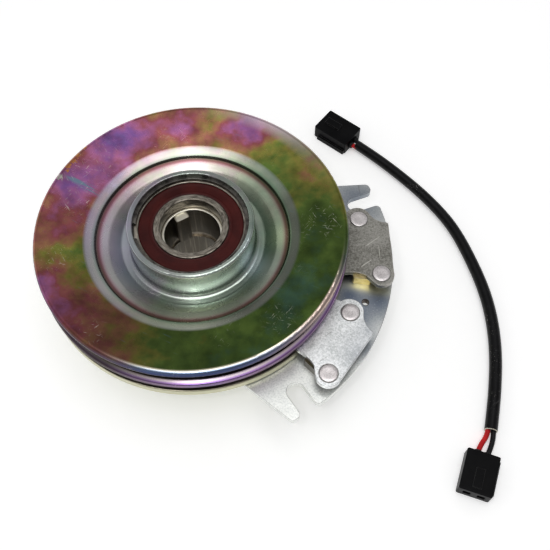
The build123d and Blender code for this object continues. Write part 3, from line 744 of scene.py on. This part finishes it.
looks = {
    "pulley_plating": plating("yellow_zinc"),
    "bearing_steel": turned_steel(
        "ground_steel", (0.045, 0.038, 0.030), (0.44, 0.40, 0.34), 0.0004, 0.30),
    "seal_rubber": moulded(
        "seal_rubber", (0.038, 0.0050, 0.0048), (0.066, 0.0095, 0.0080), 0.55, 1800.0, sheen=0.12),
    "cage_plastic": moulded("cage_nylon", (0.62, 0.55, 0.40), (0.78, 0.72, 0.58), 0.45),
    # the torque plate and the brake plates: a dark worn colour, which outlines their edges in
    # painted shade
    "clear_zinc": grained_zinc(
        "clear_zinc", (0.56, 0.58, 0.56), (0.86, 0.87, 0.84), 1300.0, 0.38,
        (0.15, 0.14, 0.13), PLATE_PAINTED_SHADE),
    "brake_zinc": grained_zinc(
        "brake_zinc", (0.54, 0.56, 0.56), (0.98, 0.99, 1.0), 1300.0, 0.40,
        (0.20, 0.19, 0.18), BRAKE_PAINTED_SHADE),
    "turned_steel": turned_steel(
        "turned_steel", (0.12, 0.10, 0.08), (0.50, 0.44, 0.35), 0.0004, 0.32),
    "spring_steel": coated_steel("blued_steel", (0.16, 0.18, 0.24), (0.40, 0.42, 0.46), 0.32),
    "rivet_steel": grained_zinc("rivet_zinc", (0.44, 0.40, 0.40), (0.76, 0.72, 0.72), 2200.0, 0.36),
    "spacer_plating": coated_steel(
        "gold_zinc", (0.48, 0.36, 0.13), (0.78, 0.66, 0.36), 0.30, SPACER_PAINTED_SHADE),
    "ring_steel": coated_steel("phosphated_steel", (0.035, 0.033, 0.03), (0.15, 0.14, 0.125), 0.42),
    "shell_plating": grained_zinc(
        "shell_zinc", (0.60, 0.62, 0.45), (0.76, 0.78, 0.60), 1000.0, 0.32),
    "magnet_ferrite": coated_steel("ferrite", (0.03, 0.03, 0.035), (0.09, 0.09, 0.10), 0.6),
    "coil_copper": wound_copper("enamelled_copper"),
    "bobbin_nylon": moulded("bobbin_nylon", (0.60, 0.57, 0.46), (0.76, 0.73, 0.62), 0.5),
    "potting_resin": moulded("potting_resin", (0.012, 0.012, 0.014), (0.03, 0.03, 0.035), 0.25),
    "black_nylon": moulded(
        "black_nylon", (0.0015, 0.0015, 0.002), (0.004, 0.004, 0.0045), 0.36, sheen=0.07),
    "sleeve_vinyl": vinyl(
        "sleeve_vinyl", (0.0015, 0.0015, 0.002), (0.005, 0.005, 0.006), 0.30, dust=0.6),
    "wire_red_vinyl": vinyl("wire_red_vinyl", (0.42, 0.008, 0.012), (0.62, 0.02, 0.02), 0.30),
    "wire_black_vinyl": vinyl(
        "wire_black_vinyl", (0.004, 0.004, 0.005), (0.014, 0.014, 0.016), 0.30),
    "terminal_brass": coated_steel("terminal_tin", (0.55, 0.45, 0.26), (0.80, 0.74, 0.58), 0.30),
}


def dress(piece, slot_name):
    """Give a piece the look of a material slot."""
    piece.data.materials.clear()
    piece.data.materials.append(looks[slot_name])


for entry in frame["record"]["subparts"]:
    node = frame["nodes"][entry["node"]]
    for index in range(len(node.material_slots)):
        node.material_slots[index].link = "OBJECT"
        node.material_slots[index].material = looks[entry["material_slot"]]

# nodes whose look differs from that of the others in their slot
own_looks = {
    "pulley_lower": plating("yellow_zinc_lower", LOWER_BASE, LOWER_PATCHES, lower=True),
    "brake_plate_1": grained_zinc(
        "brake_zinc_worn", (0.15, 0.145, 0.125), (0.38, 0.37, 0.34), 1300.0, 0.42,
        (0.85, 0.83, 0.76)),
    "rotor_hub": turned_steel(
        "hub_steel", (0.12, 0.10, 0.08), (0.52, 0.46, 0.37), 0.0004, 0.32, keyed=True),
    "armature_ring": turned_steel(
        "armature_steel", (0.11, 0.09, 0.07), (0.36, 0.31, 0.25), 0.0004, 0.32,
        side=(0.74, 0.74, 0.50)),
}
for node_name, material in own_looks.items():
    frame["nodes"][node_name].material_slots[0].material = material

for piece, slot_name in (
        (lead_sleeve, "sleeve_vinyl"),
        (lead_red, "wire_red_vinyl"),
        (lead_black, "wire_black_vinyl")):
    dress(piece, slot_name)
    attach(piece, "field")


# ---- pieces in finer detail than the CAD ------------------------------------------------------
def mesh_piece(name, slot_name, rider, bm):
    """An object from a finished bmesh, dressed and set on the body that it moves with."""
    bmesh.ops.recalc_face_normals(bm, faces=bm.faces)
    mesh = bpy.data.meshes.new(name)
    bm.to_mesh(mesh)
    bm.free()
    piece = bpy.data.objects.new(name, mesh)
    bpy.context.collection.objects.link(piece)
    dress(piece, slot_name)
    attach(piece, rider)
    return piece


def join_rings(bm, rings):
    """Faces between each ring of vertices and the next, closed both ways."""
    for step, here in enumerate(rings):
        after = rings[(step + 1) % len(rings)]
        for index in range(len(here)):
            following = (index + 1) % len(here)
            bm.faces.new((here[index], after[index], after[following], here[following]))


def lathe(bm, profile, centre=(0.0, 0.0), steps=96, wobble=0.0, seed=0.0):
    """Turn a closed outline of (radius, height) in mm about an upright line through the centre."""
    rings = []
    for step in range(steps):
        turn = 2 * math.pi * step / steps
        line = []
        for radius, height in profile:
            place = Vector((math.cos(turn) * 3, math.sin(turn) * 3, seed + radius + height))
            shift = wobble * noise.noise(place)
            far = max(radius + shift, 0.001)
            line.append(bm.verts.new(((centre[0] + far * math.cos(turn)) * MM,
                                      (centre[1] + far * math.sin(turn)) * MM,
                                      (height + shift * 0.5) * MM)))
        rings.append(line)
    join_rings(bm, rings)


def smooth(piece, angle=35.0):
    """Shade smooth, with creases kept."""
    piece.data.shade_smooth()
    piece.data.set_sharp_from_angle(angle=math.radians(angle))
    return piece


def on_the_table(x, y, run_x, run_y):
    """From upright at the origin to lying at a place on the lead, facing along a run."""
    facing = Vector((run_x, run_y, 0)).to_track_quat("Z", "Y").to_matrix().to_4x4()
    return Matrix.Translation((x * MM, y * MM, LEAD_Z * MM)) @ facing


# plan places of the second brake plate's rivets: radius in mm and angle
RIVETS = ((79.0, -8.1), (87.6, -28.7))
BRAKE_PITCH = 36.8          # turn from one brake plate to the other, in degrees
PLATE_BOTTOM = 26.5         # height of the torque plate's underside
BRAKE_TOP = 38.0            # height of the brake plates' faces
rivet_rows = bmesh.new()
shade_ring_rows = bmesh.new()
for number, (rivet_r, rivet_angle) in enumerate(
        (radius, angle + turn) for turn in (0.0, BRAKE_PITCH) for radius, angle in RIVETS):
    middle = polar(rivet_r, rivet_angle)
    lathe(rivet_rows, (
        (0.001, 25.3), (3.0, 25.3), (3.45, 25.45), (3.6, 25.8), (3.6, PLATE_BOTTOM),
        (2.18, PLATE_BOTTOM), (2.18, BRAKE_TOP), (4.0, BRAKE_TOP), (4.08, 38.22), (3.98, 38.38),
        (3.7, 38.47), (2.4, 38.49), (1.6, 38.44), (0.001, 38.42)),
        middle, 64, 0.05, number * 7.0)
    # a thin dark ring round each rivet head: painted shade where the head meets the plate
    lathe(shade_ring_rows, (
        (4.12, BRAKE_TOP), (4.42, BRAKE_TOP), (4.40, 38.14), (4.27, 38.17), (4.14, 38.14)),
        middle, 64, 0.04, number * 5.0)
rivets = smooth(mesh_piece("rivet_set", "rivet_steel", "field", rivet_rows))
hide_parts("brake_rivets")
smooth(mesh_piece("rivet_shade_rims", "ring_steel", "field", shade_ring_rows))

# cut end of the sleeve, where the paler inside of its wall shows
end_x, end_y = LEAD_ROUTE[-1]
run_x, run_y = end_x - LEAD_ROUTE[-2][0], end_y - LEAD_ROUTE[-2][1]
cut_end = bmesh.new()
lathe(cut_end, (
    (2.45, -0.25), (3.0, -0.25), (3.04, 0.0), (3.0, 0.12), (2.75, 0.2), (2.5, 0.12), (2.42, 0.0)),
    steps=64, wobble=0.05, seed=3.0)
cut_end.transform(on_the_table(end_x, end_y, run_x, run_y))
smooth(mesh_piece("sleeve_cut_end", "bobbin_nylon", "field", cut_end))

# collars of soft plastic round the wires where they leave the connectors
collars = bmesh.new()
for connector in (CONNECTOR_A, CONNECTOR_B):
    for side in (-1, 1):
        collar = bmesh.new()
        lathe(collar, (
            (1.28, -0.3), (1.95, -0.3), (2.0, 0.5), (1.85, 0.75), (1.6, 0.8), (1.55, 1.1),
            (1.75, 1.25), (1.7, 1.5), (1.45, 1.6), (1.28, 1.5)),
            steps=48, wobble=0.03, seed=float(side))
        collar.transform(on_the_table(*connector_hole(connector, side), *polar(1.0, connector[2])))
        spare = bpy.data.meshes.new("collar")
        collar.to_mesh(spare)
        collar.free()
        collars.from_mesh(spare)
        bpy.data.meshes.remove(spare)
smooth(mesh_piece("wire_collars", "black_nylon", "field", collars))

# weld round the top of the shell, laid in short overlapping runs; the share says how far a point
# of the section moves with the ripple
WELD_STEPS = 360
WELD_SECTION = (
    (65.0, 25.35, 0),
    (65.35, 25.4, 1),
    (65.8, 25.75, 1),
    (66.1, 26.2, 1),
    (66.15, 26.49, 0),
    (65.0, 26.49, 0),
)
bead = bmesh.new()
rings = []
for step in range(WELD_STEPS):
    turn = math.radians(step)
    uneven = noise.noise((math.cos(turn) * 9, math.sin(turn) * 9, 1))
    ripple = 0.10 * abs(math.sin(turn * 60)) + 0.05 * uneven
    rings.append([bead.verts.new(((radius - ripple * share) * math.cos(turn) * MM,
                                  (radius - ripple * share) * math.sin(turn) * MM,
                                  (height + ripple * share) * MM))
                  for radius, height, share in WELD_SECTION])
join_rings(bead, rings)
weld_bead = smooth(mesh_piece("weld_bead", "turned_steel", "field", bead), 60.0)
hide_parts("shell_weld")

# seal: crimped outer bead, flat web with a shallow dish, two lips on the inner ring
SEAL_FOOT = 55.25
SEAL_WEB = 55.92
seal_section = bmesh.new()
lathe(seal_section, (
    (17.10, 55.35), (17.25, SEAL_FOOT), (23.3, SEAL_FOOT), (23.58, 55.45), (23.58, 55.95),
    (23.40, 56.17), (22.9, 56.23), (22.55, 56.12), (22.3, 55.98), (21.4, SEAL_WEB),
    (19.2, SEAL_WEB), (18.75, 56.0), (18.5, 56.16), (18.1, 56.2), (17.85, 56.08), (17.6, 55.98),
    (17.4, 56.12), (17.18, 56.1), (17.10, 55.9)), steps=160, wobble=0.02)
top_seal = smooth(mesh_piece("seal_lipped", "seal_rubber", "pulley", seal_section), 50.0)
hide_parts("bearing_seal_top")


# ---- light and floor ------------------------------------------------------------------------
def area_light(name, place, aim, size, power):
    """A white disc light at a place, turned to its aim."""
    data = bpy.data.lights.new(name, "AREA")
    data.shape = "DISK"
    data.size = size
    data.energy = power
    light = bpy.data.objects.new(name, data)
    bpy.context.collection.objects.link(light)
    light.location = place
    light.rotation_euler = (Vector(place) - Vector(aim)).to_track_quat("Z", "Y").to_euler()


# how bright the surroundings are against the sine of the height above the horizon
SKY = ((0.0, 1.0), (0.28, 0.72), (0.48, 0.40), (0.76, 0.36), (0.88, 0.48), (1.0, 1.05))
SKY_LEAN = (-0.45, 0.14, 0.0)       # the surroundings are brighter this way
LIGHT_AIM = (0.04, 0.02, 0.03)      # about the middle of the clutch and its lead, in metres
SOFTBOX_PLACE = (0.10, -0.10, 1.25)
FLASH_OFFSET = Vector((-0.05, -0.02, 0.06))
FLOOR_REACH = 3.0


def studio():
    """A white table, a bright sky, a softbox above and a small light by the camera."""
    world = bpy.data.worlds.new("studio")
    world.use_nodes = True
    nodes = world.node_tree.nodes
    links = world.node_tree.links
    background = nodes["Background"]
    place = nodes.new("ShaderNodeTexCoord")
    split = nodes.new("ShaderNodeSeparateXYZ")
    links.new(place.outputs["Generated"], split.inputs[0])
    sky = nodes.new("ShaderNodeValToRGB")
    sky.color_ramp.elements[0].position = SKY[0][0]
    sky.color_ramp.elements[0].color = (SKY[0][1],) * 3 + (1,)
    sky.color_ramp.elements[1].position = SKY[-1][0]
    sky.color_ramp.elements[1].color = (SKY[-1][1],) * 3 + (1,)
    for position, grey in SKY[1:-1]:
        sky.color_ramp.elements.new(position).color = (grey,) * 3 + (1,)
    links.new(split.outputs[2], sky.inputs[0])
    links.new(sky.outputs[0], background.inputs["Color"])
    lean = nodes.new("ShaderNodeVectorMath")
    lean.operation = "DOT_PRODUCT"
    lean.inputs[1].default_value = SKY_LEAN
    links.new(place.outputs["Generated"], lean.inputs[0])
    level = nodes.new("ShaderNodeMath")
    level.operation = "ADD"
    level.inputs[1].default_value = 1.0
    links.new(lean.outputs["Value"], level.inputs[0])
    links.new(level.outputs[0], background.inputs["Strength"])
    bpy.context.scene.world = world
    area_light("softbox", SOFTBOX_PLACE, LIGHT_AIM, size=0.90, power=3.5)
    area_light("flash", CAMERA_PLACE + FLASH_OFFSET, LIGHT_AIM, size=0.03, power=0.14)

    mesh = bpy.data.meshes.new("floor")
    corners = [(x * FLOOR_REACH, y * FLOOR_REACH, 0)
               for x, y in ((-1, -1), (1, -1), (1, 1), (-1, 1))]
    mesh.from_pydata(corners, [], [(0, 1, 2, 3)])
    floor = bpy.data.objects.new("floor", mesh)
    bpy.context.collection.objects.link(floor)
    paper = Look("paper", roughness=0.85)
    paper.set("Base Color", paper.ramp(paper.noise(300.0, 4.0), (0.3, 0.93), (0.7, 0.95)))
    paper.set("Emission Color", (1.0, 1.0, 1.0))
    paper.set("Emission Strength", 0.31)
    mesh.materials.append(paper.material)


studio()
bpy.context.scene.view_settings.view_transform = "Standard"
